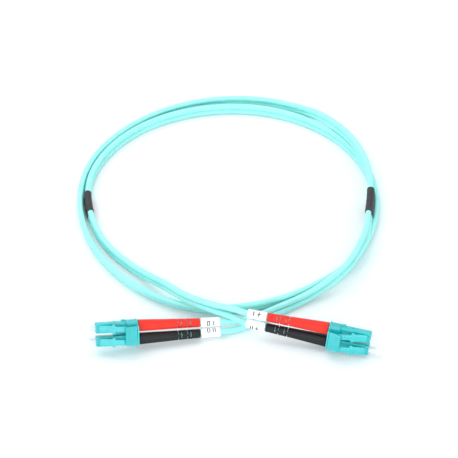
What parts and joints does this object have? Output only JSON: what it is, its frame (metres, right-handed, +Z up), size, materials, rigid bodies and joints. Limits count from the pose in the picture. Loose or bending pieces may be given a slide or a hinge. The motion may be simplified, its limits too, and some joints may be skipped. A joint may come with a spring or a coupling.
{
  "type": "fiber optic patch cord",
  "caption": "Fiber optic patch cord: duplex latched plugs with dust caps, clip, trigger and flexible boots at both ends of a looped zip cord that splits into single legs.",
  "frame": {"origin": "on the table under the middle of the two twin plugs", "axes": "+X from the left twin plug to the right one, +Y away from the plugs across the cord loop, +Z up from the table"},
  "size_m": [0.1484, 0.1835, 0.0157],
  "materials": {
    "aqua_plastic": "smooth moulded plastic",
    "red_boot": "satin thermoplastic elastomer",
    "black_boot": "satin thermoplastic elastomer",
    "white_plastic": "white to translucent moulded plastic",
    "aqua_jacket": "satin extruded cable jacket",
    "black_shrink": "satin heat-shrink tube",
    "ceramic": "polished zirconia",
    "steel": "satin",
    "brass": "nickel-free satin",
    "fibre_buffer": "satin coating"
  },
  "bodies": {
    "cord_and_plugs": {"a1_plug_housing": "aqua_plastic", "a1_spring": "steel", "a1_rear_body": "steel", "a1_crimp_sleeve": "brass", "a1_boot": "red_boot", "a1_label_sleeve": "white_plastic", "a1_leg": "aqua_jacket", "a2_plug_housing": "aqua_plastic", "a2_spring": "steel", "a2_rear_body": "steel", "a2_crimp_sleeve": "brass", "a2_boot": "black_boot", "a2_label_sleeve": "white_plastic", "a2_leg": "aqua_jacket", "a_duplex_clip": "aqua_plastic", "a_heat_shrink": "black_shrink", "b1_plug_housing": "aqua_plastic", "b1_spring": "steel", "b1_rear_body": "steel", "b1_crimp_sleeve": "brass", "b1_boot": "red_boot", "b1_label_sleeve": "white_plastic", "b1_leg": "aqua_jacket", "b2_plug_housing": "aqua_plastic", "b2_spring": "steel", "b2_rear_body": "steel", "b2_crimp_sleeve": "brass", "b2_boot": "black_boot", "b2_label_sleeve": "white_plastic", "b2_leg": "aqua_jacket", "b_duplex_clip": "aqua_plastic", "b_heat_shrink": "black_shrink", "zip_cord": "aqua_jacket"},
    "a1_latch_arm": {"a1_latch": "aqua_plastic"},
    "a1_ferrule_unit": {"a1_ferrule": "ceramic", "a1_ferrule_holder": "steel", "a1_buffered_fibre": "fibre_buffer"},
    "a1_cap": {"a1_dust_cap": "white_plastic"},
    "a2_latch_arm": {"a2_latch": "aqua_plastic"},
    "a2_ferrule_unit": {"a2_ferrule": "ceramic", "a2_ferrule_holder": "steel", "a2_buffered_fibre": "fibre_buffer"},
    "a2_cap": {"a2_dust_cap": "white_plastic"},
    "a_release": {"a_trigger": "aqua_plastic"},
    "b1_latch_arm": {"b1_latch": "aqua_plastic"},
    "b1_ferrule_unit": {"b1_ferrule": "ceramic", "b1_ferrule_holder": "steel", "b1_buffered_fibre": "fibre_buffer"},
    "b1_cap": {"b1_dust_cap": "white_plastic"},
    "b2_latch_arm": {"b2_latch": "aqua_plastic"},
    "b2_ferrule_unit": {"b2_ferrule": "ceramic", "b2_ferrule_holder": "steel", "b2_buffered_fibre": "fibre_buffer"},
    "b2_cap": {"b2_dust_cap": "white_plastic"},
    "b_release": {"b_trigger": "aqua_plastic"}
  },
  "joints": [
    {"name": "a_trigger_hinge", "type": "hinge", "parent": "cord_and_plugs", "child": "a_release", "pos_m": [-0.04413, -0.00317, 0.01063], "axis": [0.027, -0.5395, -0.8415], "range_deg": [0, 14], "stiffness_Nm_per_rad": 0.002},
    {"name": "a1_latch_flex", "type": "hinge", "parent": "cord_and_plugs", "child": "a1_latch_arm", "pos_m": [-0.06103, -0.00122, 0.01256], "axis": [-0.027, 0.5395, 0.8415], "range_deg": [0, 8], "stiffness_Nm_per_rad": 0.002},
    {"name": "a1_ferrule_float", "type": "slide", "parent": "cord_and_plugs", "child": "a1_ferrule_unit", "axis": [0.9861, 0.1526, -0.0663], "range_m": [0, 0.001], "stiffness_N_per_m": 500, "deforming": ["a1_spring"]},
    {"name": "a1_dust_cap_pull", "type": "slide", "parent": "cord_and_plugs", "child": "a1_cap", "axis": [-0.9861, -0.1526, 0.0663], "range_m": [0, 0.012]},
    {"name": "a2_latch_flex", "type": "hinge", "parent": "cord_and_plugs", "child": "a2_latch_arm", "pos_m": [-0.06087, -0.0046, 0.0073], "axis": [-0.027, 0.5395, 0.8415], "range_deg": [0, 8], "stiffness_Nm_per_rad": 0.002},
    {"name": "a2_ferrule_float", "type": "slide", "parent": "cord_and_plugs", "child": "a2_ferrule_unit", "axis": [0.9861, 0.1526, -0.0663], "range_m": [0, 0.001], "stiffness_N_per_m": 500, "deforming": ["a2_spring"]},
    {"name": "a2_dust_cap_pull", "type": "slide", "parent": "cord_and_plugs", "child": "a2_cap", "axis": [-0.9861, -0.1526, 0.0663], "range_m": [0, 0.012]},
    {"name": "b_trigger_hinge", "type": "hinge", "parent": "cord_and_plugs", "child": "b_release", "pos_m": [0.04379, -0.0054, 0.00938], "axis": [0.136, 0.3534, 0.9256], "range_deg": [0, 14], "stiffness_Nm_per_rad": 0.002},
    {"name": "b1_latch_flex", "type": "hinge", "parent": "cord_and_plugs", "child": "b1_latch_arm", "pos_m": [0.0609, -0.00487, 0.01004], "axis": [-0.136, -0.3534, -0.9256], "range_deg": [0, 8], "stiffness_Nm_per_rad": 0.002},
    {"name": "b1_ferrule_float", "type": "slide", "parent": "cord_and_plugs", "child": "b1_ferrule_unit", "axis": [-0.9738, 0.2195, 0.0593], "range_m": [0, 0.001], "stiffness_N_per_m": 500, "deforming": ["b1_spring"]},
    {"name": "b1_dust_cap_pull", "type": "slide", "parent": "cord_and_plugs", "child": "b1_cap", "axis": [0.9738, -0.2195, -0.0593], "range_m": [0, 0.012]},
    {"name": "b2_latch_flex", "type": "hinge", "parent": "cord_and_plugs", "child": "b2_latch_arm", "pos_m": [0.06005, -0.00707, 0.00426], "axis": [-0.136, -0.3534, -0.9256], "range_deg": [0, 8], "stiffness_Nm_per_rad": 0.002},
    {"name": "b2_ferrule_float", "type": "slide", "parent": "cord_and_plugs", "child": "b2_ferrule_unit", "axis": [-0.9738, 0.2195, 0.0593], "range_m": [0, 0.001], "stiffness_N_per_m": 500, "deforming": ["b2_spring"]},
    {"name": "b2_dust_cap_pull", "type": "slide", "parent": "cord_and_plugs", "child": "b2_cap", "axis": [0.9738, -0.2195, -0.0593], "range_m": [0, 0.012]}
  ],
  "couplings": [
    {"joint": "a1_latch_flex", "follows": "a_trigger_hinge", "ratio": 0.41},
    {"joint": "a2_latch_flex", "follows": "a_trigger_hinge", "ratio": 0.41},
    {"joint": "b1_latch_flex", "follows": "b_trigger_hinge", "ratio": 0.41},
    {"joint": "b2_latch_flex", "follows": "b_trigger_hinge", "ratio": 0.41}
  ]
}
